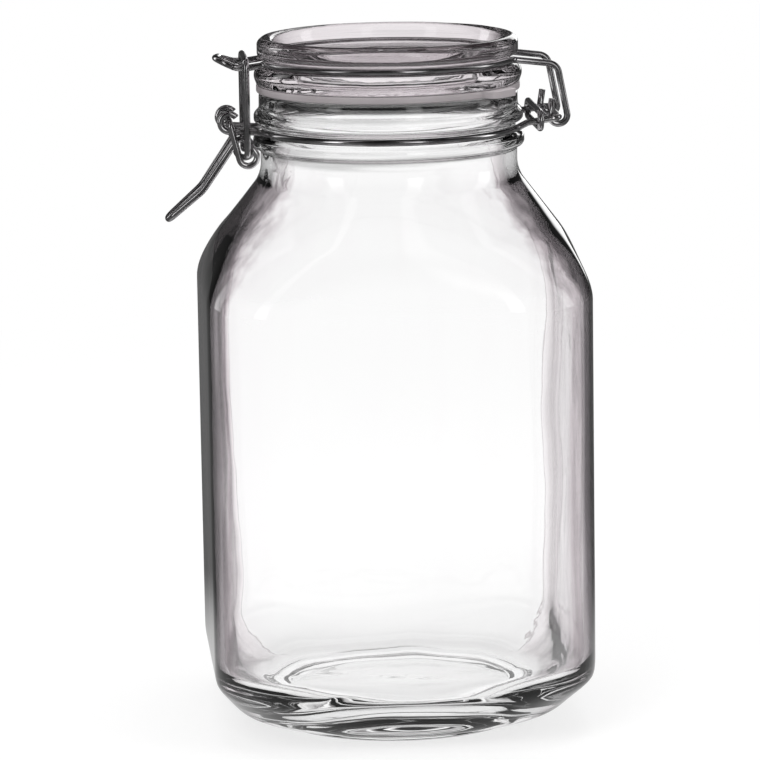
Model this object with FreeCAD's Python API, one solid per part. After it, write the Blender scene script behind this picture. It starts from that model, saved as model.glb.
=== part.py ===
import FreeCAD
import Part
import math
import os

V = FreeCAD.Vector

# Frame: origin on the jar's axis at the level it stands on, +Z up.
# The hinge is at +X, the latch at -X, and the flat sides face +-X and +-Y. Millimetres.

# glass body
body_width = 140.0        # across two flat sides
corner_radius = 34.0      # upright corners
side_height = 160.0       # top of the straight sides
shoulder_height = 47.0    # straight sides to neck
side_wall = 3.8
floor_thickness = 11.4    # above the hollow underneath
heel_radius = 27.0        # round the bottom edge
floor_radius = 14.0       # inside, wall into floor
heel_lift = 2.5           # heel above the ground, beside the foot
foot_radius = 51.5        # standing ring, outside
foot_width = 7.0
push_up = 2.2             # hollow under the floor
flare_radius = 12.0       # shoulder into neck
shoulder_radius = 38.0    # side into shoulder

# neck, heights above the shoulder's top
neck_radius = 47.1
neck_wall = 4.4
neck_height = 26.0
rim_flare = 0.3           # rim proud of the neck
rim_edge = 1.4
lower_bead_rise = 2.5     # proud of the neck
lower_bead_z = 8.1
lower_bead_half = 3.6     # bead's middle to its lower edge
neck_groove_z = 12.5
groove_sink = 0.5         # groove's floor inside the neck
groove_lip = 1.1          # groove's sides, proud of the neck
groove_half = 2.1
upper_bead_rise = 2.2
upper_bead_z = 16.6
upper_bead_half = 3.8

# lid, heights above its under face
lid_height = 17.3
lid_overhang = 0.4        # under face proud of the rim
lid_bead_rise = 1.4       # bead proud of the under face
lid_bead_z = 3.9
lid_groove_sink = 2.6     # groove inside the under face
lid_groove_z = 8.6
lid_groove_half = 2.2
lid_rim_sink = 0.2        # rolled rim inside the under face
lid_rim_z = 14.3
lid_rim_width = 5.0       # rolled rim to the dished top
lid_rim_round = 1.0
lid_well_depth = 7.6
well_slope = 2.2          # run of the well's side
well_round = 2.2
lid_pane = 5.0            # glass under the well
pane_crown = 0.9          # pane's middle above its edge
plug_depth = 6.0          # plug below the under face
plug_wall = 5.0
plug_gap = 1.9            # plug to bore

# seal
seal_thickness = 2.6
seal_reach = 0.9          # outside the rim
seal_play = 0.1           # round the plug
tab_length = 5.0
tab_width = 14.0
tab_angle = -41.0         # round from the hinge

# wire
wire = 2.4
bend = 2.6                # tight bends, to the wire's centre
eye_play = 0.8            # round a pin in its eye
side_gap = 0.3            # between wires that pass each other
seat_gap = 0.3            # between pieces that meet across a joint
groove_gap = 0.15         # wire in its groove

# hinge side
hinge_out = 13.9          # hinge pin from the neck
hinge_up = 3.8            # above the neck groove
hook_spread = 29.0        # between the lid wire's two hooks
arm_rise = 2.2            # neck wire's arms as they clear the bead
corner_drop = 2.0         # top corners of the lid wire's arms below the lid groove
corner_bend = 4.0
upright_lean = 11.0       # degrees
tail_lean = 9.0
tail = 5.6                # cut end above the hook
tie_out = 6.7             # tie ring from the neck
tie_play = 1.0            # tie ring round the arms
tie_lift = 0.15

# latch side
eye_out = 11.8            # neck wire's eyes from the neck
eye_up = 4.4              # above the neck groove
eye_spread = 18.4         # between the two eyes
crank_x = 6.5             # lever's pin to its eye
crank_z = 12.9
pin_past = 1.2            # pin ends past the eye they turn in
hairpin_x = 4.1           # lever's pin to its hairpin bends
grip_bend_x = 10.0        # lever's pin to the bend in the handle
grip_bend_z = 25.4
grip_bend_spread = 14.4   # between the handle's wires there
grip_tip_x = 22.6         # lever's pin to the handle's tip
grip_tip_z = 36.2
grip_tip_spread = 7.4
link_bend = 3.0
tongue_drop = 0.9         # tongue below the lid groove
tongue_flat = 9.0         # start of the tongue's curl, from the neck
tongue_reach = 15.6       # tongue's tip from the neck
tongue_curl = 2.8         # rise of the tip
tongue_bend = 7.0         # corners of the tip
tongue_skew = 1.5         # one corner of the tip stands further out

# worked out
half = body_width / 2
r = wire / 2
eye = wire + eye_play                       # eye's radius to the wire's centre
bore = neck_radius - neck_wall
rim_radius = neck_radius + rim_flare
lid_radius = rim_radius + lid_overhang
lid_groove_radius = lid_radius - lid_groove_sink
lid_rim_radius = lid_radius - lid_rim_sink
lid_well_radius = lid_rim_radius - lid_rim_width
neck_z = side_height + shoulder_height
rim_z = neck_z + neck_height
groove_z = neck_z + neck_groove_z
groove_depth_radius = neck_radius - groove_sink
lower_bead_bottom = neck_z + lower_bead_z - lower_bead_half
neck_ring = groove_depth_radius + r + groove_gap
lid_z = rim_z + seat_gap + seal_thickness
lid_ring = lid_groove_radius + r + groove_gap
lid_ring_z = lid_z + lid_groove_z
plug_radius = bore - plug_gap
hinge = V(neck_radius + hinge_out, 0, groove_z + hinge_up)
latch = V(-neck_radius - eye_out, 0, groove_z + eye_up)
eye_centre = latch - V(0, 0, eye_play - seat_gap)
lever_eye = latch + V(crank_x, 0, -crank_z)
link_pull = V(-0.6, 0, 0.8)                 # way the link pulls in the lever's eye
link_pin = lever_eye + link_pull * (eye_play - seat_gap)
eye_y = eye_spread / 2
lever_y = eye_y + wire + side_gap
link_y = lever_y + wire + side_gap
tongue_y = link_y - wire - 2 * side_gap
grip_y = lever_y - wire - side_gap
hairpin_top = eye_centre.z - eye - wire - side_gap
hook_y = hook_spread / 2
arm_y = hook_y + wire + side_gap + 0.1
tie_height = 2 * wire + tie_play
tongue_z = lid_ring_z - tongue_drop
link_top = tongue_z + wire + seat_gap


def revolve(edges):
    """Solid of revolution about Z of a closed outline in the XZ plane."""
    face = Part.Face(Part.Wire(edges))
    return face.revolve(V(0, 0, 0), V(0, 0, 1), 360)


def outline(steps):
    """Edges of a closed XZ outline. A step is a point (x, z), or an arc's middle and end (x, z, x, z)."""
    at = [V(s[-2], 0, s[-1]) for s in steps]
    edges = []
    for before, step, here in zip(at[-1:] + at[:-1], steps, at):
        if len(step) == 4:
            edges.append(Part.Arc(before, V(step[0], 0, step[1]), here).toShape())
        else:
            edges.append(Part.LineSegment(before, here).toShape())
    return edges


def rounded_square(reach, flat, share, z):
    """Wire of eight pieces that goes from a square with round corners, share 0, to a circle, share 1."""
    if share == 0:
        corner = reach - flat
        join = V(reach, flat, z)
        middle = flat
    else:
        side = (math.sqrt(2 * (reach + flat * share) ** 2 - reach**2) - reach) / 2
        turn = math.atan2(side, side + reach)
        bow = reach / share
        join = V(reach - bow * (1 - math.cos(turn)), bow * math.sin(turn), z)
        middle = side * (1 - share) / share
        corner = reach - flat * (1 - share)
    diagonal = middle + corner * math.cos(math.pi / 4)
    edges = []
    for quarter in range(4):
        spin = FreeCAD.Rotation(V(0, 0, 1), 90 * quarter)
        points = (V(join.x, -join.y, z), V(reach, 0, z), join, V(diagonal, diagonal, z), V(join.y, join.x, z))
        a, b, c, d, e = (spin.multVec(p) for p in points)
        edges.append(Part.Arc(a, b, c).toShape() if share else Part.LineSegment(a, c).toShape())
        edges.append(Part.Arc(c, d, e).toShape())
    return Part.Wire(edges)


def shoulder_profile(inner, outer, low, high):
    """Reach at a height, between an upright side and an upright neck, as a function of 0 to 1."""
    run, rise = outer - inner, high - low
    most = 0.96 * (run**2 + rise**2) / (2 * run)
    scale = min(1.0, most / (flare_radius + shoulder_radius))
    big, small = shoulder_radius * scale, flare_radius * scale
    both = big + small
    straight = math.sqrt((both - run) ** 2 + rise**2 - both**2)
    slope = math.atan2(rise, both - run) - math.atan2(straight, both)
    first, last = low + big * math.sin(slope), high - small * math.sin(slope)

    def reach(z):
        if z <= first:
            return outer - big + math.sqrt(big**2 - (z - low) ** 2)
        if z >= last:
            return inner + small - math.sqrt(small**2 - (high - z) ** 2)
        return outer - big * (1 - math.cos(slope)) - (z - first) * math.tan(slope)

    steps = [low, low + 0.3, (low + first) / 2, first, (first + last) / 2, last, (last + high) / 2, high]
    return steps, reach


def bottle(reach, corner, heel, low, neck, top):
    """Rounded-square body with a round heel, its shoulder, and a round neck up to top."""
    flat = reach - corner
    side = Part.Face(rounded_square(reach, flat, 0, low)).extrude(V(0, 0, side_height - low))
    under = [e for e in side.Edges if max(v.Z for v in e.Vertexes) < low + 0.001]
    side = side.makeFillet(heel, under)
    steps, profile = shoulder_profile(neck, reach, side_height, neck_z)
    sections = []
    for z in steps:
        share = (z - side_height) / shoulder_height
        sections.append(rounded_square(profile(z), flat, share * share * (3 - 2 * share), z))
    shoulder = Part.makeLoft(sections, True, False)
    core = Part.makeCylinder(neck, top - neck_z, V(0, 0, neck_z))
    return side.fuse([shoulder, core])


def jar_body():
    """Hollow glass body: neck beads, wire groove, standing ring and hollow floor."""
    body = bottle(half, corner_radius, heel_radius, heel_lift, neck_radius, lower_bead_bottom)
    lower, upper = neck_z + lower_bead_z, neck_z + upper_bead_z
    beads = revolve(outline([
        (bore - 1, lower_bead_bottom),
        (neck_radius, lower_bead_bottom),
        (neck_radius + lower_bead_rise, lower, neck_radius + groove_lip, groove_z - groove_half),
        (groove_depth_radius, groove_z, neck_radius + groove_lip, groove_z + groove_half),
        (neck_radius + upper_bead_rise, upper, rim_radius + 0.2, upper + upper_bead_half),
        (rim_radius, rim_z - rim_edge),
        (rim_radius - 0.3 * rim_edge, rim_z - 0.3 * rim_edge, rim_radius - rim_edge, rim_z),
        (bore + rim_edge, rim_z),
        (bore + 0.3 * rim_edge, rim_z - 0.3 * rim_edge, bore, rim_z - rim_edge),
        (bore - 1, rim_z - rim_edge)]))
    foot = revolve(outline([
        (0, heel_lift + 1),
        (0, push_up),
        (foot_radius - foot_width - 6, push_up),
        (foot_radius - foot_width, 0.4),
        (foot_radius - foot_width + 2, 0),
        (foot_radius - 2, 0),
        (foot_radius - 0.6, 0.6, foot_radius, 2),
        (foot_radius + 1.5, heel_lift + 2),
        (foot_radius - 4, heel_lift + 4),
        (0, heel_lift + 4)]))
    floor = push_up + floor_thickness
    hollow = bottle(half - side_wall, corner_radius - side_wall, floor_radius, floor, bore, rim_z + 5)
    return body.fuse([beads, foot]).cut(hollow).removeSplitter()


def lid_glass():
    """Pressed lid: plug, bead, wire groove and a rolled rim round a shallow well."""
    z, top = lid_z, lid_z + lid_height
    well = top - lid_well_depth
    pane = well - lid_pane
    groove = z + lid_groove_z
    return revolve(outline([
        (0, pane + 1),
        (plug_radius - plug_wall - 2, pane),
        (plug_radius - plug_wall, z - plug_depth),
        (plug_radius, z - plug_depth),
        (plug_radius, z),
        (lid_radius, z),
        (lid_radius + lid_bead_rise, z + lid_bead_z, lid_radius + 0.3, groove - lid_groove_half),
        (lid_groove_radius, groove, lid_rim_radius - 0.8, groove + lid_groove_half),
        (lid_rim_radius, z + lid_rim_z, lid_rim_radius - lid_rim_round, top - lid_rim_round + 0.1),
        ((lid_rim_radius + lid_well_radius) / 2, top, lid_well_radius + 0.4, top - lid_rim_round),
        (lid_well_radius - well_slope + 0.8, well + well_round + 0.2),
        (lid_well_radius - well_slope, well + 0.6, lid_well_radius - well_slope - well_round, well),
        (0, well + pane_crown)]))


def seal():
    """Flat rubber ring round the plug, with a pull tab."""
    z = rim_z + seat_gap
    outer = rim_radius + seal_reach
    ring = Part.makeCylinder(outer, seal_thickness, V(0, 0, z))
    tab = Part.makeBox(outer + tab_length, tab_width, seal_thickness, V(0, -tab_width / 2, z))
    tips = [e for e in tab.Edges if e.Vertexes[0].X > outer and e.Vertexes[-1].X > outer
            and abs(e.Vertexes[0].Z - e.Vertexes[-1].Z) > 1]
    tab = tab.makeFillet(2.0, tips)
    tab.rotate(V(0, 0, 0), V(0, 0, 1), tab_angle)
    hole = Part.makeCylinder(plug_radius + seal_play, seal_thickness + 2, V(0, 0, z - 1))
    return ring.fuse(tab).cut(hole).removeSplitter()


def bent_wire(corners, closed=False):
    """Round wire along straight runs joined by arcs. A corner is (point, bend radius)."""
    count = len(corners)
    inner = range(count) if closed else range(1, count - 1)
    arcs = {}
    for i in inner:
        before, (at, radius), after = corners[i - 1][0], corners[i], corners[(i + 1) % count][0]
        a, b = (before - at).normalize(), (after - at).normalize()
        opening = a.getAngle(b)
        tangent = radius / math.tan(opening / 2)
        middle = at + (a + b).normalize() * (radius / math.sin(opening / 2) - radius)
        arcs[i] = (at + a * tangent, middle, at + b * tangent)
    edges = []
    here = arcs[0][2] if closed else corners[0][0]
    for i in (list(range(1, count)) + [0]) if closed else range(1, count):
        start = arcs[i][0] if i in arcs else corners[i][0]
        if (start - here).Length > 0.0005:
            edges.append(Part.LineSegment(here, start).toShape())
        if i in arcs:
            edges.append(Part.Arc(*arcs[i]).toShape())
            here = arcs[i][2]
    path = Part.Wire(edges)
    ahead = edges[0].tangentAt(edges[0].FirstParameter)
    start = edges[0].valueAt(edges[0].FirstParameter)
    section = Part.Wire(Part.makeCircle(r, start, ahead))
    return path.makePipeShell([section], True, False)


def arc_corners(centre, radius, across, up, first, last):
    """Corners whose bends make one arc about centre, from angle first to last in degrees."""
    count = max(1, math.ceil(abs(last - first) / 70))
    step = math.radians(last - first) / count
    out = radius / math.cos(step / 2)
    turns = [math.radians(first) + step * (i + 0.5) for i in range(count)]
    return [(centre + across * (out * math.cos(t)) + up * (out * math.sin(t)), radius) for t in turns]


def on_arc(centre, radius, degrees):
    """Point of an upright arc, and its direction there as the angle grows."""
    turn = math.radians(degrees)
    point = centre + V(radius * math.cos(turn), 0, radius * math.sin(turn))
    return point, V(-math.sin(turn), 0, math.cos(turn))


def ring_exit(ring, z, y, side):
    """Corner where a ring bends out into an arm at -y, and the ring's angle there in degrees."""
    centre_x = side * math.sqrt((ring + bend) ** 2 - (y + bend) ** 2)
    angle = math.atan2(-y - bend, centre_x) - side * math.radians(1.2)
    x = (ring + math.sin(angle) * y) / math.cos(angle)
    return (V(x, -y, z), bend), math.degrees(angle)


def mirrored(corners):
    """A wire's other half, beyond the XZ plane, in the order that carries on from the first."""
    return [(V(p.x, -p.y, p.z), radius) for p, radius in reversed(corners)]


X, Y, Z = V(1, 0, 0), V(0, 1, 0), V(0, 0, 1)


def neck_wire():
    """Ring in the neck groove, with an eye each side of the latch and the hinge bar opposite."""
    latch_exit, latch_angle = ring_exit(neck_ring, groove_z, eye_y, -1)
    hinge_exit, hinge_angle = ring_exit(neck_ring, groove_z, arm_y, 1)
    centre = eye_centre - Y * eye_y
    start, _ = on_arc(centre, eye, 38)
    low = centre.z - eye
    corners = [(start, 0)]
    corners += arc_corners(centre, eye, X, Z, 38, 270)
    corners += [(V(centre.x + 2.6, -eye_y, low), 8.0)]
    corners += [latch_exit]
    corners += arc_corners(V(0, 0, groove_z), neck_ring, X, Y, latch_angle, hinge_angle)
    corners += [hinge_exit]
    corners += [(V(neck_radius + 2.2, -arm_y, groove_z + arm_rise), 4.0)]
    corners += [(V(hinge.x, -arm_y, hinge.z), bend)]
    return bent_wire(corners + mirrored(corners))


def tie_ring():
    """Closed oval of wire that holds the neck wire's two arms together."""
    x = neck_radius + tie_out
    share = (tie_out - 2.2) / (hinge_out - 2.2)
    arm_z = groove_z + arm_rise + (hinge.z - groove_z - arm_rise) * share
    low = arm_z - tie_height / 2 + tie_lift
    y = arm_y + tie_height / 2 + tie_lift
    round_end = tie_height / 2 - 0.01
    corners = [(V(x, side * y, z), round_end) for side, z in
               ((-1, low), (-1, low + tie_height), (1, low + tie_height), (1, low))]
    return bent_wire(corners, closed=True)


def lid_wire():
    """Ring in the lid groove, with two hooks on the hinge bar and a tongue at the latch."""
    hinge_exit, hinge_angle = ring_exit(lid_ring, lid_ring_z, hook_y, 1)
    latch_exit, latch_angle = ring_exit(lid_ring, lid_ring_z, tongue_y, -1)
    hook = hinge + V(0, -hook_y, eye_play - seat_gap)
    low, down = on_arc(hook, eye, 180 - tail_lean)
    high, up = on_arc(hook, eye, upright_lean)
    top = lid_ring_z - corner_drop
    corners = [(low - down * tail, 0)]
    corners += arc_corners(hook, eye, X, Z, 180 - tail_lean, 360 + upright_lean)
    corners += [(high + up * ((top - high.z) / up.z), corner_bend)]
    corners += [hinge_exit]
    corners += arc_corners(V(0, 0, lid_ring_z), lid_ring, X, Y, hinge_angle, latch_angle)
    corners += [latch_exit]
    corners += [(V(-neck_radius - tongue_flat / 2, -tongue_y, tongue_z), 8.0)]
    corners += [(V(-neck_radius - tongue_flat, -tongue_y, tongue_z), 7.0)]
    tip = V(-neck_radius - tongue_reach, -tongue_y, tongue_z + tongue_curl)
    skew = V(-tongue_skew, 0, 0.6 * tongue_skew)
    tips = [(tip + skew, tongue_bend), (V(tip.x, -tip.y, tip.z) - skew, tongue_bend)]
    return bent_wire(corners + tips + mirrored(corners))


def hairpin_corner(before, corner, after):
    """The corner moved up or down until the top of its bend is at the hairpin's height."""
    for _ in range(6):
        a, c = (before - corner).normalize(), (after - corner).normalize()
        centre = corner + (a + c).normalize() * (bend / math.sin(a.getAngle(c) / 2))
        corner = corner + Z * (hairpin_top - centre.z - bend)
    return corner


def lever():
    """Wire lever: a pin in each neck eye, a leg, an eye for the link, and a long narrow handle."""
    side = -Y * lever_y
    reach = lever_eye - latch
    lean = math.degrees(math.atan2(reach.x, -reach.z) - math.asin(eye / reach.Length))
    rise = 38.0
    end, ahead = on_arc(lever_eye + side, eye, rise)
    grip_bend = latch + V(-grip_bend_x, -grip_bend_spread / 2, -grip_bend_z)
    under_eye = hairpin_corner(end + ahead, V(latch.x + hairpin_x, -grip_y, hairpin_top), grip_bend)
    corners = [(latch - Y * (eye_y - r - pin_past), 0)]
    corners += [(latch + side, 2.2)]
    corners += arc_corners(lever_eye + side, eye, X, Z, 180 + lean, 360 + rise)
    corners += [(end + ahead, 3.0), (under_eye, bend), (grip_bend, 12.0)]
    corners += [(latch + V(-grip_tip_x, -grip_tip_spread / 2, -grip_tip_z), grip_tip_spread / 2 - 0.1)]
    return bent_wire(corners + mirrored(corners))


def link():
    """Bail whose ends turn in through the lever's eyes and whose top lies over the tongue."""
    corners = [(link_pin - Y * (lever_y - r - pin_past), 0)]
    corners += [(link_pin - Y * link_y, 2.2)]
    corners += [(V(link_pin.x, -link_y, link_top), link_bend)]
    return bent_wire(corners + mirrored(corners))


nodes = {
    "jar_body": jar_body, "neck_wire": neck_wire, "tie_ring": tie_ring, "lid_glass": lid_glass,
    "lid_wire": lid_wire, "seal": seal, "lever": lever, "link": link}

os.makedirs("parts", exist_ok=True)
for name, make in nodes.items():
    shape = make()
    shape.exportStep("parts/" + name + ".step")
    print(name, len(shape.Solids), "solid", shape.isValid(), round(shape.Volume / 1000, 2), "ml",
          [round(v, 1) for v in (shape.BoundBox.XMin, shape.BoundBox.XMax, shape.BoundBox.YMin,
                                 shape.BoundBox.YMax, shape.BoundBox.ZMin, shape.BoundBox.ZMax)])
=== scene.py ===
import bpy
import bmesh
import math
from types import SimpleNamespace
from mathutils import Matrix, Vector, noise


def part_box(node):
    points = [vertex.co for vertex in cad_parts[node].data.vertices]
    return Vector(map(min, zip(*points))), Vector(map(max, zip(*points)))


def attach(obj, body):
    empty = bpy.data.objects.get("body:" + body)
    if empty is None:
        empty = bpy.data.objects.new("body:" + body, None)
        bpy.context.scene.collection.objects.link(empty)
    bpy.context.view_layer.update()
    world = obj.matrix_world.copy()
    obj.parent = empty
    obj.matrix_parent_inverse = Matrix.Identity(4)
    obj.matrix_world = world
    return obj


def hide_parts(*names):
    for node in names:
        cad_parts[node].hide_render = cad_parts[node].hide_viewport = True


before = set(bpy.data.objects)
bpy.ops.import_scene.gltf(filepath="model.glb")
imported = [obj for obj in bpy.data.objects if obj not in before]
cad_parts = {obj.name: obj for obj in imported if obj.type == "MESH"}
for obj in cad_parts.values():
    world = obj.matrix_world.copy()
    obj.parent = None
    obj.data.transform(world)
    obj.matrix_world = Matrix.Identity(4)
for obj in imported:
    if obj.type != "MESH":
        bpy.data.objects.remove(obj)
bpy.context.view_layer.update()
print("frame loaded")

mm = 0.001
clear = (1, 1, 1, 1)


def inMm(metres):
    return round(metres / mm, 2)


def smoothStep(low, high, value):
    t = min(1.0, max(0.0, (value - low) / (high - low)))
    return t * t * (3 - 2 * t)


def bevelCorners(bm, verts, offset, steps):
    bmesh.ops.bevel(bm, geom=verts, offset=offset, offset_type="OFFSET", segments=steps, profile=0.5,
                    affect="VERTICES", clamp_overlap=False, material=-1)


def roundedPath(corners, innerFrom=None):
    # an open line in the XZ plane, its corners (radius, height, bend radius, steps) in millimetres;
    # the corners from number innerFrom on are marked as the inside of a wall
    bm = bmesh.new()
    within = bm.verts.layers.float.new("within")
    verts = [bm.verts.new((corner[0] * mm, 0, corner[1] * mm)) for corner in corners]
    if innerFrom is not None:
        for vert in verts[innerFrom:]:
            vert[within] = 1.0
    for a, b in zip(verts, verts[1:]):
        bm.edges.new((a, b))
    for vert, corner in zip(verts, corners):
        if len(corner) > 2:
            a, b = (edge.other_vert(vert).co - vert.co for edge in vert.link_edges)
            turn = math.pi - a.angle(b)
            bevelCorners(bm, [vert], corner[2] * mm * math.tan(turn / 2), corner[3])
    return bm


def divideLong(bm, longest):
    for edge in bm.edges[:]:
        cuts = int(edge.calc_length() / (longest * mm))
        if cuts:
            bmesh.ops.subdivide_edges(bm, edges=[edge], cuts=cuts)


def spinRound(bm, steps):
    bmesh.ops.spin(bm, geom=bm.verts[:] + bm.edges[:], cent=(0, 0, 0), axis=(0, 0, 1),
                   angle=2 * math.pi, steps=steps, use_merge=True)
    bmesh.ops.remove_doubles(bm, verts=bm.verts, dist=1e-6)
    bmesh.ops.recalc_face_normals(bm, faces=bm.faces)


def finishPiece(name, bm, body, material, replaced):
    mesh = bpy.data.meshes.new(name)
    bm.to_mesh(mesh)
    bm.free()
    for face in mesh.polygons:
        face.use_smooth = True
    piece = bpy.data.objects.new(name, mesh)
    bpy.context.scene.collection.objects.link(piece)
    mesh.materials.append(material)
    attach(piece, body)
    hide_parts(replaced)
    print(name, len(mesh.polygons), "faces")
    return piece


def newMaterial(name):
    material = bpy.data.materials.new(name)
    material.use_nodes = True
    return material, material.node_tree, material.node_tree.nodes["Principled BSDF"]


def objectPlace(tree):
    return tree.nodes.new("ShaderNodeTexCoord").outputs["Object"]


def linkMath(tree, operation, first, second=None, clamp=False):
    node = tree.nodes.new("ShaderNodeMath")
    node.operation = operation
    node.use_clamp = clamp
    for socket, value in zip(node.inputs, (first, second)):
        if isinstance(value, (int, float)):
            socket.default_value = value
        elif value is not None:
            tree.links.new(value, socket)
    return node.outputs["Value"]


def linkProduct(tree, first, *others):
    for other in others:
        first = linkMath(tree, "MULTIPLY", first, other)
    return first


def linkRange(tree, value, span, toLow=0.0, toHigh=1.0):
    # a smooth change from toLow to toHigh while the value goes through the span
    node = tree.nodes.new("ShaderNodeMapRange")
    node.interpolation_type = "SMOOTHSTEP"
    for name, number in (("From Min", span[0]), ("From Max", span[1]), ("To Min", toLow), ("To Max", toHigh)):
        node.inputs[name].default_value = number
    tree.links.new(value, node.inputs["Value"])
    return node.outputs["Result"]


def linkSpan(tree, value, span, toLow=0.0, toHigh=1.0):
    # the same for a place, with its span in millimetres
    return linkRange(tree, value, (span[0] * mm, span[1] * mm), toLow, toHigh)


def linkMix(tree, factor, first, second, blend="MIX"):
    node = tree.nodes.new("ShaderNodeMix")
    node.data_type = "RGBA"
    node.blend_type = blend
    for name, value in (("Factor", factor), ("A", first), ("B", second)):
        if isinstance(value, (int, float, tuple)):
            node.inputs[name].default_value = value
        else:
            tree.links.new(value, node.inputs[name])
    return node.outputs["Result"]


def linkTints(tree, first, *others):
    for other in others:
        first = linkMix(tree, 1.0, first, other, "MULTIPLY")
    return first


def linkVector(tree, operation, first, second=None):
    node = tree.nodes.new("ShaderNodeVectorMath")
    node.operation = operation
    tree.links.new(first, node.inputs[0])
    if isinstance(second, tuple):
        node.inputs[1].default_value = second
    elif second is not None:
        tree.links.new(second, node.inputs[1])
    return node.outputs["Vector"]


def linkRamp(tree, value, stops):
    node = tree.nodes.new("ShaderNodeValToRGB")
    elements = node.color_ramp.elements
    elements.remove(elements[1])
    elements[0].position, elements[0].color = stops[0]
    for position, colour in stops[1:]:
        elements.new(position).color = colour
    tree.links.new(value, node.inputs["Fac"])
    return node.outputs["Color"]


def linkNoise(tree, vector, scale, detail=2.0):
    node = tree.nodes.new("ShaderNodeTexNoise")
    node.inputs["Scale"].default_value = scale
    node.inputs["Detail"].default_value = detail
    tree.links.new(vector, node.inputs["Vector"])
    return node.outputs["Fac"]


def linkBump(tree, shader, height, strength, depth):
    bump = tree.nodes.new("ShaderNodeBump")
    bump.inputs["Strength"].default_value = strength
    bump.inputs["Distance"].default_value = depth * mm
    tree.links.new(height, bump.inputs["Height"])
    tree.links.new(bump.outputs["Normal"], shader.inputs["Normal"])


streakLook = {"detail": 3.0, "span": (0.36, 0.56)}


def makeGlassStreaks():
    # painted shade standing in for the refraction streaks of pressed glass: a darker shade drawn out round
    # the axis
    group = bpy.data.node_groups.new("paintedStreaks", "ShaderNodeTree")
    for name in ("Round Scale", "Height Scale", "Darkest"):
        group.interface.new_socket(name, in_out="INPUT", socket_type="NodeSocketFloat")
    group.interface.new_socket("Shade", in_out="OUTPUT", socket_type="NodeSocketFloat")
    given, result = group.nodes.new("NodeGroupInput"), group.nodes.new("NodeGroupOutput")
    size = group.nodes.new("ShaderNodeCombineXYZ")
    for axis, name in (("X", "Round Scale"), ("Y", "Round Scale"), ("Z", "Height Scale")):
        group.links.new(given.outputs[name], size.inputs[axis])
    drawn = linkVector(group, "MULTIPLY", objectPlace(group), size.outputs["Vector"])
    streak = linkNoise(group, drawn, 1.0, streakLook["detail"])
    shade = linkRange(group, streak, streakLook["span"]).node
    group.links.new(given.outputs["Darkest"], shade.inputs["To Min"])
    group.links.new(shade.outputs["Result"], result.inputs["Shade"])
    return group


paintedStreaks = makeGlassStreaks()


planLook = {"least": 0.05, "fade": (0.15, 0.45)}


def facingInPlan(tree, facing, surface):
    # how far a wall turns from the eye as seen in plan, so that looking down on it doesn't darken all of it
    level = linkVector(tree, "MULTIPLY", surface.outputs["Normal"], (1, 1, 0))
    tree.links.new(linkVector(tree, "NORMALIZE", level), facing.inputs["Normal"])
    up = tree.nodes.new("ShaderNodeCombineXYZ")
    up.inputs["Z"].default_value = 1.0
    above = tree.nodes.new("ShaderNodeLayerWeight")
    above.inputs["Blend"].default_value = 0.5
    tree.links.new(up.outputs["Vector"], above.inputs["Normal"])
    steep = linkMath(tree, "SUBTRACT", 1.0, above.outputs["Facing"])
    flat = linkMath(tree, "SUBTRACT", 1.0, linkProduct(tree, steep, steep), clamp=True)
    flat = linkMath(tree, "SQRT", flat)
    across = linkMath(tree, "SUBTRACT", 1.0, facing.outputs["Facing"])
    plan = linkMath(tree, "DIVIDE", across, linkMath(tree, "MAXIMUM", flat, planLook["least"]), clamp=True)
    # from straight above there is no plan direction, and the darkening fades out
    return linkProduct(tree, linkMath(tree, "SUBTRACT", 1.0, plan), linkRange(tree, flat, planLook["fade"]))


def startGlass(name, look):
    # clear glass whose colour darkens towards its edges, where the eye looks along the wall: painted shade
    # standing in for the dark refractions and reflections there
    material, tree, shader = newMaterial(name)
    shader.inputs["Roughness"].default_value = 0.0
    shader.inputs["IOR"].default_value = look["ior"]
    shader.inputs["Transmission Weight"].default_value = 1.0
    surface = tree.nodes.new("ShaderNodeNewGeometry")
    facing = tree.nodes.new("ShaderNodeLayerWeight")
    facing.inputs["Blend"].default_value = 0.5
    place = objectPlace(tree)
    drawn = tree.nodes.new("ShaderNodeMapping")
    drawn.inputs["Scale"].default_value = look["drawScale"]
    tree.links.new(place, drawn.inputs["Vector"])
    draw = linkNoise(tree, drawn.outputs["Vector"], 1.0, look["drawDetail"])
    # noise moves where the painted edge shade begins
    wander = linkRange(tree, draw, look["drawSpan"], -look["drawDepth"], look["drawDepth"])
    turned = facingInPlan(tree, facing, surface) if look["inPlan"] else facing.outputs["Facing"]
    reached = linkMath(tree, "ADD", turned, wander)
    axes = tree.nodes.new("ShaderNodeSeparateXYZ")
    tree.links.new(place, axes.inputs["Vector"])
    squares = [linkProduct(tree, axes.outputs[axis], axes.outputs[axis]) for axis in ("X", "Y")]
    streaks = tree.nodes.new("ShaderNodeGroup")
    streaks.node_tree = paintedStreaks
    streaks.inputs["Round Scale"].default_value = look["roundScale"]
    streaks.inputs["Height Scale"].default_value = look["heightScale"]
    streaks.inputs["Darkest"].default_value = look["darkest"]
    linkBump(tree, shader, linkNoise(tree, place, look["rippleScale"]), 1.0, look["rippleDepth"])
    return SimpleNamespace(
        material=material, tree=tree, shader=shader, surface=surface, place=place, reached=reached,
        facing=facing.outputs["Facing"], edge=linkRamp(tree, reached, look["edge"]), height=axes.outputs["Z"],
        radius=linkMath(tree, "SQRT", linkMath(tree, "ADD", *squares)), shade=streaks.outputs["Shade"])
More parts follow.
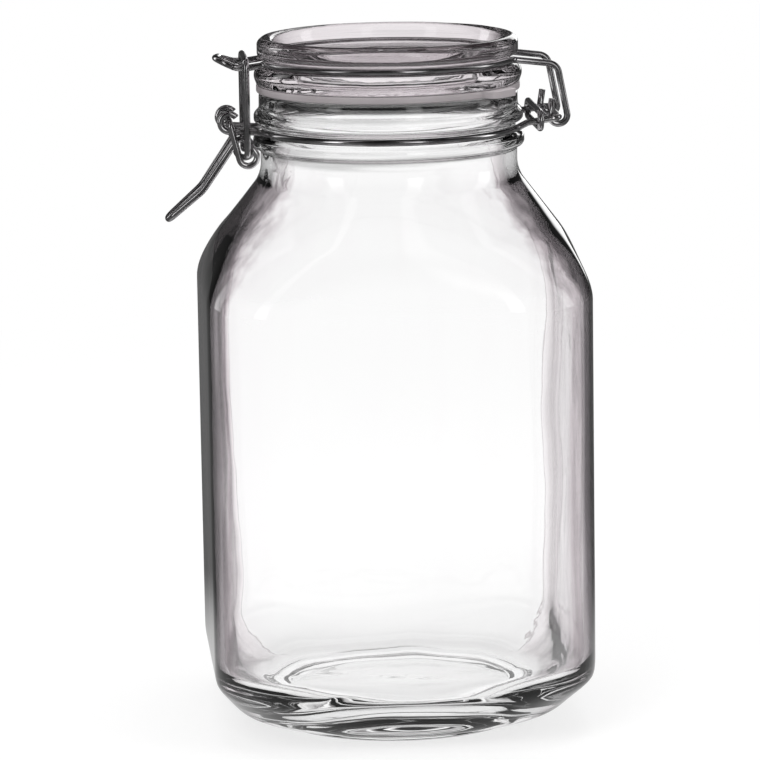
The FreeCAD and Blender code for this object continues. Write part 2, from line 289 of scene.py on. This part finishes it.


# glass of the jar: colours by how far the wall turns away, which are painted edge shade; heights and radii in
# millimetres
jarGlassLook = {
    "ior": 1.48, "inPlan": True,
    "edge": [(0.0, clear), (0.30, (0.96, 0.94, 0.955, 1)), (0.40, (0.56, 0.50, 0.53, 1)),
             (0.48, (0.17, 0.145, 0.158, 1)), (0.60, (0.03, 0.025, 0.028, 1)),
             (0.80, (0.002, 0.0016, 0.0018, 1))],
    "within": [(0.0, clear), (0.43, clear), (0.455, (0.34, 0.30, 0.315, 1)), (0.49, (0.86, 0.82, 0.84, 1)),
               (0.62, (0.74, 0.69, 0.71, 1)), (0.90, (0.20, 0.17, 0.185, 1))],
    "drawScale": (110.0, 110.0, 9.0), "drawDetail": 3.0, "drawSpan": (0.3, 0.7), "drawDepth": 0.07,
    "rippleScale": 34.0, "rippleDepth": 0.22,
    "roundScale": 9.0, "heightScale": 260.0, "darkest": 0.66, "streaksFrom": (204.0, 210.0),
    "floorShare": 0.06, "floorEdge": (50.0, 60.0), "floorTop": (18.0, 30.0),
    "neckShare": 0.55, "neckFade": (200.0, 210.0), "bandShade": 0.14, "bandFrom": (228.8, 230.0)}


def makeJarGlass():
    look = jarGlassLook
    glass = startGlass("jarGlass", look)
    tree = glass.tree
    # painted edge shade: the outside darkens where it is entered, the inside less and with one crisp painted
    # dark line and light streak
    inner = tree.nodes.new("ShaderNodeAttribute")
    inner.attribute_name = "within"
    innerTint = linkRamp(tree, glass.reached, look["within"])
    entered = linkMix(tree, glass.surface.outputs["Backfacing"], glass.edge, clear)
    either = linkMix(tree, inner.outputs["Fac"], entered, innerTint)
    # the painted edge shade stays off the thick floor, and is weaker on the neck
    wall = linkMath(tree, "MAXIMUM", linkSpan(tree, glass.radius, look["floorEdge"], look["floorShare"]),
                    linkSpan(tree, glass.height, look["floorTop"], look["floorShare"]))
    wall = linkProduct(tree, wall, linkSpan(tree, glass.height, look["neckFade"], 1.0, look["neckShare"]))
    tinted = linkMix(tree, wall, clear, either)
    # only the neck gets the painted streak shade, with a painted dark band under the seal standing in for the
    # lid's plug seen through the neck
    shaded = linkMix(tree, linkSpan(tree, glass.height, look["streaksFrom"]), clear, glass.shade)
    paintedPlugBand = linkSpan(tree, glass.height, look["bandFrom"], 1.0, look["bandShade"])
    tree.links.new(linkTints(tree, tinted, shaded, paintedPlugBand), glass.shader.inputs["Base Color"])
    return glass.material


# glass of the lid, in the same terms, its edge ramp painted shade too
lidGlassLook = {
    "ior": 1.48, "inPlan": False,
    "edge": [(0.0, (0.88, 0.84, 0.86, 1)), (0.30, (0.84, 0.79, 0.815, 1)), (0.55, (0.60, 0.55, 0.575, 1)),
             (0.74, (0.20, 0.175, 0.188, 1)), (0.92, (0.03, 0.026, 0.028, 1))],
    "drawScale": (30.0, 30.0, 300.0), "drawDetail": 3.0, "drawSpan": (0.3, 0.7), "drawDepth": 0.06,
    "rippleScale": 90.0, "rippleDepth": 0.2,
    "roundScale": 14.0, "heightScale": 620.0, "darkest": 0.80,
    # the pane's dark colour and its blotches are a painted reflection
    "paneShare": 0.10, "rimFrom": (35.0, 41.0), "paintedSheenColour": (0.16, 0.14, 0.15, 1), "paneFacing": (0.55, 0.85),
    "paneEdge": (33.0, 26.0), "paneFrom": (242.5, 244.0), "sheenBlotchScale": 38.0, "sheenBlotchSpan": (0.47, 0.50),
    "plugShade": 0.03, "plugFade": (235.2, 235.8)}


def makeLidGlass():
    look = lidGlassLook
    glass = startGlass("lidGlass", look)
    tree = glass.tree
    # the pane is clearer than the rim, with a painted dark reflection in blotches seen only from low down
    rim = linkSpan(tree, glass.radius, look["rimFrom"], look["paneShare"])
    tinted = linkMix(tree, rim, look["edge"][0][1], glass.edge)
    shaded = linkMix(tree, rim, clear, glass.shade)
    sheenBlotches = linkRange(tree, linkNoise(tree, glass.place, look["sheenBlotchScale"]), look["sheenBlotchSpan"])
    paintedSheen = linkProduct(tree, sheenBlotches, linkSpan(tree, glass.radius, look["paneEdge"]),
                        linkRange(tree, glass.facing, look["paneFacing"]),
                        linkSpan(tree, glass.height, look["paneFrom"]))
    pane = linkMix(tree, paintedSheen, clear, look["paintedSheenColour"])
    # painted shade: the plug under the lid is darkened, standing in for the dark band it shows through the
    # neck
    plug = linkSpan(tree, glass.height, look["plugFade"], look["plugShade"])
    tree.links.new(linkTints(tree, tinted, shaded, pane, plug), glass.shader.inputs["Base Color"])
    return glass.material


jarGlass = makeJarGlass()
lidGlass = makeLidGlass()

wireLook = {"tones": [(0.0, (0.22, 0.215, 0.22, 1)), (0.5, (0.38, 0.373, 0.38, 1)),
                      (1.0, (0.60, 0.592, 0.60, 1))],
            "patchScale": 60.0, "patchDetail": 3.0, "patchSpan": (0.3, 0.7),
            "roughLow": 0.14, "roughHigh": 0.24, "pitScale": 900.0, "pitStrength": 0.04, "pitDepth": 0.01}


def makeWireMetal():
    look = wireLook
    material, tree, shader = newMaterial("wireMetal")
    shader.inputs["Metallic"].default_value = 1.0
    place = objectPlace(tree)
    patches = linkNoise(tree, place, look["patchScale"], look["patchDetail"])
    tone = linkRamp(tree, linkRange(tree, patches, look["patchSpan"]), look["tones"])
    tree.links.new(tone, shader.inputs["Base Color"])
    rough = linkRange(tree, patches, look["patchSpan"], look["roughHigh"], look["roughLow"])
    tree.links.new(rough, shader.inputs["Roughness"])
    pits = linkNoise(tree, place, look["pitScale"])
    linkBump(tree, shader, pits, look["pitStrength"], look["pitDepth"])
    return material


wireMetal = makeWireMetal()

rubberLook = {"tones": [(0.0, (0.40, 0.36, 0.375, 1)), (1.0, (0.58, 0.535, 0.55, 1))], "rough": 0.45,
              "cloudScale": 60.0, "cloudDetail": 5.0,
              "grainScale": 1500.0, "grainStrength": 0.3, "grainDepth": 0.2}


def makeRubber():
    look = rubberLook
    material, tree, shader = newMaterial("sealRubber")
    shader.inputs["Roughness"].default_value = look["rough"]
    place = objectPlace(tree)
    cloud = linkNoise(tree, place, look["cloudScale"], look["cloudDetail"])
    tree.links.new(linkRamp(tree, cloud, look["tones"]), shader.inputs["Base Color"])
    grain = linkNoise(tree, place, look["grainScale"])
    linkBump(tree, shader, grain, look["grainStrength"], look["grainDepth"])
    return material


sealRubber = makeRubber()
print("materials made")


# glass jar: a turned bottle whose body is then squared; its reach and height come from the frame
jar = {"reach": inMm(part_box("jar_body")[1].x), "top": inMm(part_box("jar_body")[1].z), "neckHeight": 26.0,
       "sideTop": 160.0, "wall": 3.8, "neck": 47.1, "bore": 42.7, "foot": 45.0, "footWidth": 5.6,
       "flat": 36.0, "flatMost": 0.54, "heelTop": 27.0, "heelBend": 24.0, "floor": 13.6, "floorBend": 14.0,
       "shoulderBend": 38.0, "innerShoulderBend": 36.0, "neckBend": 12.0,
       "heelRound": (22.0, 6.0), "footRound": (63.0, 52.0),
       "floorRound": 48.0, "floorRise": 14.0, "floorShare": 0.35,
       "bead": 49.8, "groove": 46.6, "collar": 49.4,
       "wave": 0.45, "waveScale": (30.0, 11.0), "fineScale": (70.0, 28.0), "fineShare": 0.5, "fineShift": 5.0,
       "wallWaveFrom": 8.0, "floorWave": (66.0, 50.0), "longestEdge": 3.5, "steps": 192}
jar["neckBase"] = jar["top"] - jar["neckHeight"]


def polarSquare(angle, reach, share):
    # how far out the side lies in a direction: a square with round corners, and a circle when share is 1
    turn = abs((angle + math.pi / 4) % (math.pi / 2) - math.pi / 4)
    nearly = 0.001
    if share > 1 - nearly:
        return reach
    flat = min(jar["flat"] * mm, jar["flatMost"] * reach)
    corner = reach - flat * (1 - share)
    if share < nearly:
        middle, joinAngle, bowBack = flat, math.atan2(flat, reach), None
    else:
        # the flat side bows out as a wide arc that joins the corner's
        side = (math.sqrt(2 * (reach + flat * share) ** 2 - reach ** 2) - reach) / 2
        joinTurn = math.atan2(side, side + reach)
        bow = reach / share
        bowBack = bow - reach
        joinAngle = math.atan2(bow * math.sin(joinTurn), bow * math.cos(joinTurn) - bowBack)
        middle = side * (1 - share) / share
    if turn <= joinAngle:
        if bowBack is None:
            return reach / math.cos(turn)
        return -bowBack * math.cos(turn) + math.sqrt(bow ** 2 - (bowBack * math.sin(turn)) ** 2)
    out = middle * math.sqrt(2)
    off = math.pi / 4 - turn
    return out * math.cos(off) + math.sqrt(corner ** 2 - (out * math.sin(off)) ** 2)


def roundShare(radius, height, inside):
    # how round the body is at a level: square sides, round neck and foot
    if height >= jar["sideTop"]:
        return smoothStep(jar["sideTop"], jar["neckBase"], height)
    if height >= jar["heelTop"]:
        return 0.0
    if inside:
        corner = jar["floorShare"] * smoothStep(jar["floor"] + jar["floorRise"], jar["floor"], height)
        return max(corner, 1 - smoothStep(0, jar["floorRound"], radius))
    return (smoothStep(*jar["heelRound"], height) + smoothStep(*jar["footRound"], radius)) / 2


def shoulderCorners(reach, neck, bigBend, smallBend):
    # a shoulder from an upright side to an upright neck: the heights of its two bends' corners
    run, rise = reach - neck, jar["neckBase"] - jar["sideTop"]
    both = bigBend + smallBend
    straight = math.sqrt((both - run) ** 2 + rise ** 2 - both ** 2)
    slope = math.atan2(rise, both - run) - math.atan2(straight, both)
    low = jar["sideTop"] + bigBend * math.tan(slope / 2)
    high = jar["neckBase"] - smallBend * math.tan(slope / 2)
    return low, high


def jarOutside():
    reach, neck, bend, z = jar["reach"], jar["neck"], jar["neckBend"], jar["neckBase"]
    foot, outerFoot = jar["foot"], jar["foot"] + jar["footWidth"]
    low, high = shoulderCorners(reach, neck, jar["shoulderBend"], bend)
    pushUp = [(0, 2.9), (36.0, 2.4, 20, 3), (foot - 3.0, 1.6, 4, 3)]
    ring = [(foot, 0.0, 1.2, 3), (outerFoot, 0.0, 1.6, 4), (outerFoot + 1.0, 2.6, 2.0, 4)]
    side = [(reach, 3.0, jar["heelBend"], 18), (reach, low, jar["shoulderBend"], 16), (neck, high, bend, 10)]
    bead = [(neck, z + 5.2, 1.2, 4), (jar["bead"], z + 6.2, 1.6, 5), (jar["bead"] - 0.1, z + 9.6, 1.2, 4)]
    groove = [(jar["groove"], z + 11.0, 1.4, 5), (jar["groove"], z + 14.0, 1.4, 5)]
    collar = [(jar["collar"], z + 15.4, 1.4, 5), (jar["collar"], z + 18.2, 1.8, 5)]
    rim = [(neck + 0.4, z + 20.2, 2.0, 4), (neck + 0.3, jar["top"], 1.4, 5)]
    return pushUp + ring + side + bead + groove + collar + rim


def jarInside():
    inner, bore, floor, bend = jar["reach"] - jar["wall"], jar["bore"], jar["floor"], jar["neckBend"]
    low, high = shoulderCorners(inner, bore, jar["innerShoulderBend"], bend)
    wall = [(bore, jar["top"], 1.4, 5), (bore, high, bend, 10), (inner, low, jar["innerShoulderBend"], 16),
            (inner, floor, jar["floorBend"], 12)]
    dish = [(50.0, floor - 0.5, 6, 4), (43.0, floor - 2.2, 20, 4), (0, floor - 1.2)]
    return wall + dish


def wallWave(place):
    # slow unevenness of the inner wall with a finer one on it, both drawn out upwards
    across, up = jar["waveScale"]
    slow = noise.noise(Vector((place.x * across, place.y * across, place.z * up)))
    across, up = jar["fineScale"]
    fine = noise.noise(Vector((place.x * across, place.y * across, place.z * up + jar["fineShift"])))
    return slow + jar["fineShare"] * fine


def makeJar():
    outside = jarOutside()
    bm = roundedPath(outside + jarInside(), len(outside))
    divideLong(bm, jar["longestEdge"])
    spinRound(bm, jar["steps"])
    within = bm.verts.layers.float["within"]
    for vert in bm.verts:
        radius, height = math.hypot(vert.co.x, vert.co.y), vert.co.z / mm
        if radius < 1e-6:
            continue
        angle = math.atan2(vert.co.y, vert.co.x)
        inside = vert[within] > 0.5
        out = polarSquare(angle, radius, roundShare(radius / mm, height, inside))
        vert.co.x, vert.co.y = out * math.cos(angle), out * math.sin(angle)
        if inside and height < jar["neckBase"]:
            push = jar["wave"] * mm * smoothStep(jar["neckBase"], jar["sideTop"], height) * wallWave(vert.co)
            if height > jar["floor"] + jar["wallWaveFrom"]:
                vert.co.x += math.cos(angle) * push
                vert.co.y += math.sin(angle) * push
            else:
                vert.co.z += push * smoothStep(*jar["floorWave"], radius / mm)
    bmesh.ops.recalc_face_normals(bm, faces=bm.faces)
    finishPiece("jarShell", bm, "jar", jarGlass, "jar_body")


makeJar()


# lid: pressed glass with a rolled rim round a sunken pane; it sits on top of the seal
lid = {"under": inMm(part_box("seal")[1].z), "plug": 40.8, "plugDepth": 6.0, "pane": 32.0, "paneUnder": 4.8,
       "paneTop": 9.6, "bead": 49.5, "groove": 44.8, "rim": 47.8, "rimTop": 17.5,
       "wave": 0.12, "waveScale": 60.0, "waveFrom": (6.0, 9.0), "longestEdge": 2.5, "steps": 160}


def lidCorners():
    z, paneUnder, paneTop = lid["under"], lid["under"] + lid["paneUnder"], lid["under"] + lid["paneTop"]
    plugEnd = z - lid["plugDepth"]
    under = [(0, paneUnder + 0.8), (lid["pane"], paneUnder, 4, 4)]
    plug = [(34.6, plugEnd, 1.4, 4), (lid["plug"], plugEnd, 1.6, 4), (lid["plug"], z, 0.5, 2)]
    bead = [(48.1, z, 0.8, 4), (lid["bead"], z + 4.0, 3.6, 8), (47.4, z + 7.1, 1.4, 4)]
    groove = [(lid["groove"], z + 7.4, 1.2, 5), (lid["groove"], z + 9.8, 1.2, 5)]
    rim = [(lid["rim"], z + 10.2, 1.6, 5), (lid["rim"], z + 15.5, 2.0, 8), (45.4, z + lid["rimTop"], 2.2, 8),
           (42.4, z + 16.6, 1.6, 6)]
    dish = [(40.4, paneTop + 1.2, 2.6, 7), (30.0, paneTop, 30, 5), (0, paneTop + 0.8)]
    return under + plug + bead + groove + rim + dish


def makeLid():
    bm = roundedPath(lidCorners())
    divideLong(bm, lid["longestEdge"])
    spinRound(bm, lid["steps"])
    waveLow, waveHigh = ((lid["under"] + height) * mm for height in lid["waveFrom"])
    for vert in bm.verts:
        top = smoothStep(waveLow, waveHigh, vert.co.z)
        vert.co.z += top * lid["wave"] * mm * noise.noise(vert.co * lid["waveScale"])
    finishPiece("lidDisc", bm, "lid", lidGlass, "lid_glass")


makeLid()


# seal: flat ring with a pull tab, a hair thinner than its seat
seal = {"low": inMm(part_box("seal")[0].z), "high": inMm(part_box("seal")[1].z) - 0.04,
        "inner": 40.92, "outer": 48.3, "edge": 0.45, "edgeSteps": 4, "steps": 180,
        "tabAngle": -41.0, "tabWidth": 14.0, "tabReach": 53.2, "tabFacing": 0.3,
        "tabNose": 1.6, "noseFrom": 0.6}


def makeSeal():
    low, high = seal["low"], seal["high"]
    bm = bmesh.new()
    corners = [(seal["inner"], low), (seal["outer"], low), (seal["outer"], high), (seal["inner"], high)]
    verts = [bm.verts.new((radius * mm, 0, height * mm)) for radius, height in corners]
    for a, b in zip(verts, verts[1:] + verts[:1]):
        bm.edges.new((a, b))
    bevelCorners(bm, bm.verts[:], seal["edge"] * mm, seal["edgeSteps"])
    spinRound(bm, seal["steps"])
    # the tab is drawn out of the ring's outer faces, and its nose is rounded
    turn, halfTab = math.radians(seal["tabAngle"]), seal["tabWidth"] / 2 * mm
    along, across = Vector((math.cos(turn), math.sin(turn), 0)), Vector((-math.sin(turn), math.cos(turn), 0))
    chosen = [face for face in bm.faces if abs(face.calc_center_median().dot(across)) < halfTab
              and face.calc_center_median().dot(along) > 0 and face.normal.dot(along) > seal["tabFacing"]]
    made = bmesh.ops.extrude_face_region(bm, geom=chosen)["geom"]
    for vert in [part for part in made if isinstance(part, bmesh.types.BMVert)]:
        side = max(0.0, abs(vert.co.dot(across) / halfTab) - seal["noseFrom"]) / (1 - seal["noseFrom"])
        goal = (seal["tabReach"] - seal["tabNose"] * side ** 2) * mm
        vert.co += along * (goal - vert.co.dot(along))
    bmesh.ops.delete(bm, geom=chosen, context="FACES_ONLY")
    bmesh.ops.recalc_face_normals(bm, faces=bm.faces)
    finishPiece("sealRing", bm, "lid", sealRubber, "seal")


makeSeal()
print("glass and seal made")

# wires: the bent shapes as built, with their faces joined and shaded smooth up to the cut ends
wires = {"pieces": {"neck_wire": ("neckWire", "jar"), "tie_ring": ("tieRing", "jar"),
                    "lid_wire": ("lidWire", "lid"), "lever": ("leverWire", "lever"),
                    "link": ("linkWire", "link")},
         "joinWithin": 0.002, "sharpFrom": 50.0}


def makeWire(nodeName, pieceName, body):
    bm = bmesh.new()
    bm.from_mesh(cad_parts[nodeName].data)
    bmesh.ops.remove_doubles(bm, verts=bm.verts, dist=wires["joinWithin"] * mm)
    piece = finishPiece(pieceName, bm, body, wireMetal, nodeName)
    piece.data.set_sharp_from_angle(angle=math.radians(wires["sharpFrom"]))


for wireNode, (wireName, wireBody) in wires["pieces"].items():
    makeWire(wireNode, wireName, wireBody)
print("wires made")


# floor: pale paper, lit and shadowed near the jar and white far off; what the glass mirrors is darker
floorLook = {"radius": 6.0, "sides": 96, "tone": 0.30, "lift": 0.74, "mirrorTone": 0.12, "mirrorHigh": 0.80,
             "mirrorLow": 0.02, "mirrorSpan": (0.10, 0.26), "whiteSpan": (0.30, 0.85)}


def grey(tone):
    return (tone, tone, tone, 1)


def makeFloor():
    look = floorLook
    bm = bmesh.new()
    bmesh.ops.create_circle(bm, cap_ends=True, segments=look["sides"], radius=look["radius"])
    mesh = bpy.data.meshes.new("floor")
    bm.to_mesh(mesh)
    bm.free()
    floor = bpy.data.objects.new("floor", mesh)
    bpy.context.scene.collection.objects.link(floor)
    material, tree, shader = newMaterial("floorPaper")
    tree.nodes.remove(shader)
    path = tree.nodes.new("ShaderNodeLightPath").outputs
    away = tree.nodes.new("ShaderNodeVectorMath")
    away.operation = "LENGTH"
    tree.links.new(objectPlace(tree), away.inputs[0])
    distance = away.outputs["Value"]
    # a ray through clear glass counts as glossy too, so only the rest are mirrored rays
    through = linkMath(tree, "SUBTRACT", 1.0, path["Is Transmission Ray"])
    mirrored = linkProduct(tree, path["Is Glossy Ray"], through)
    paper = tree.nodes.new("ShaderNodeBsdfDiffuse")
    colour = linkMix(tree, mirrored, grey(look["tone"]), grey(look["mirrorTone"]))
    tree.links.new(colour, paper.inputs["Color"])
    # the lift shows to the camera and through glass, and in mirrored rays only close to the jar
    glow = linkRange(tree, distance, look["mirrorSpan"], look["mirrorHigh"], look["mirrorLow"])
    seen = linkMath(tree, "ADD", path["Is Camera Ray"], linkProduct(tree, path["Is Glossy Ray"], glow), True)
    seen = linkMath(tree, "ADD", seen, path["Is Transmission Ray"], True)
    lift = tree.nodes.new("ShaderNodeEmission")
    tree.links.new(linkProduct(tree, seen, look["lift"]), lift.inputs["Strength"])
    near = tree.nodes.new("ShaderNodeAddShader")
    tree.links.new(paper.outputs["BSDF"], near.inputs[0])
    tree.links.new(lift.outputs["Emission"], near.inputs[1])
    white = tree.nodes.new("ShaderNodeEmission")
    blend = tree.nodes.new("ShaderNodeMixShader")
    tree.links.new(linkProduct(tree, linkRange(tree, distance, look["whiteSpan"]), seen), blend.inputs["Fac"])
    tree.links.new(near.outputs["Shader"], blend.inputs[1])
    tree.links.new(white.outputs["Emission"], blend.inputs[2])
    tree.links.new(blend.outputs["Shader"], tree.nodes["Material Output"].inputs["Surface"])
    mesh.materials.append(material)


# studio: white from the side and dark overhead, with strip lights that only reflections see
studioLook = {"heights": [(0.32, clear), (0.70, (0.16, 0.15, 0.155, 1)), (0.95, (0.36, 0.35, 0.355, 1))],
              "strips": 5.0, "stripSpan": (0.70, 0.92), "stripLow": 0.05, "stripHigh": 2.4, "dull": 0.55}


def makeStudio():
    look = studioLook
    world = bpy.data.worlds.new("studio")
    bpy.context.scene.world = world
    world.use_nodes = True
    tree = world.node_tree
    axes = tree.nodes.new("ShaderNodeSeparateXYZ")
    tree.links.new(tree.nodes.new("ShaderNodeTexCoord").outputs["Generated"], axes.inputs["Vector"])
    path = tree.nodes.new("ShaderNodeLightPath").outputs
    around = linkMath(tree, "ARCTAN2", axes.outputs["Y"], axes.outputs["X"])
    strips = linkMath(tree, "COSINE", linkProduct(tree, around, look["strips"]))
    strips = linkRange(tree, strips, look["stripSpan"], look["stripLow"], look["stripHigh"])
    height = linkRamp(tree, axes.outputs["Z"], look["heights"])
    glossy = linkTints(tree, height, strips)
    seen = linkMix(tree, path["Is Glossy Ray"], grey(look["dull"]), glossy)
    seen = linkMix(tree, path["Is Transmission Ray"], seen, height)
    seen = linkMix(tree, path["Is Camera Ray"], seen, clear)
    tree.links.new(seen, tree.nodes["Background"].inputs["Color"])


# lamps: place and size in metres, power in watts
lamps = {"keyLamp": ((-0.9, -1.2, 1.5), 1.2, 14), "fillLamp": ((1.2, -0.6, 0.9), 1.0, 6),
         "topLamp": ((0.1, 0.3, 1.9), 1.4, 10)}
lampAim = (0, 0, 0.1)


def makeLamp(name, place, size, power):
    lamp = bpy.data.lights.new(name, "AREA")
    lamp.shape = "DISK"
    lamp.size = size
    lamp.energy = power
    holder = bpy.data.objects.new(name, lamp)
    holder.location = place
    holder.rotation_euler = (Vector(lampAim) - Vector(place)).to_track_quat("-Z", "Y").to_euler()
    holder.visible_glossy = False
    holder.visible_transmission = False
    bpy.context.scene.collection.objects.link(holder)


view = {"place": (-0.13945, -1.59391, 0.425), "aim": (-0.00459, 0.0004, 0.12479), "roll": -0.917,
        "lens": 207.95}


def makeCamera():
    data = bpy.data.cameras.new("camera")
    data.lens = view["lens"]
    data.clip_start, data.clip_end = 0.05, 50
    camera = bpy.data.objects.new("camera", data)
    place, aim = Vector(view["place"]), Vector(view["aim"])
    roll = Matrix.Rotation(math.radians(view["roll"]), 3, "Z")
    turned = (aim - place).to_track_quat("-Z", "Y").to_matrix() @ roll
    camera.matrix_world = Matrix.Translation(place) @ turned.to_4x4()
    bpy.context.scene.collection.objects.link(camera)
    bpy.context.scene.camera = camera


makeFloor()
makeStudio()
for lampName, (lampPlace, lampSize, lampPower) in lamps.items():
    makeLamp(lampName, lampPlace, lampSize, lampPower)
makeCamera()
bpy.context.scene.view_settings.view_transform = "Standard"
print("room made")
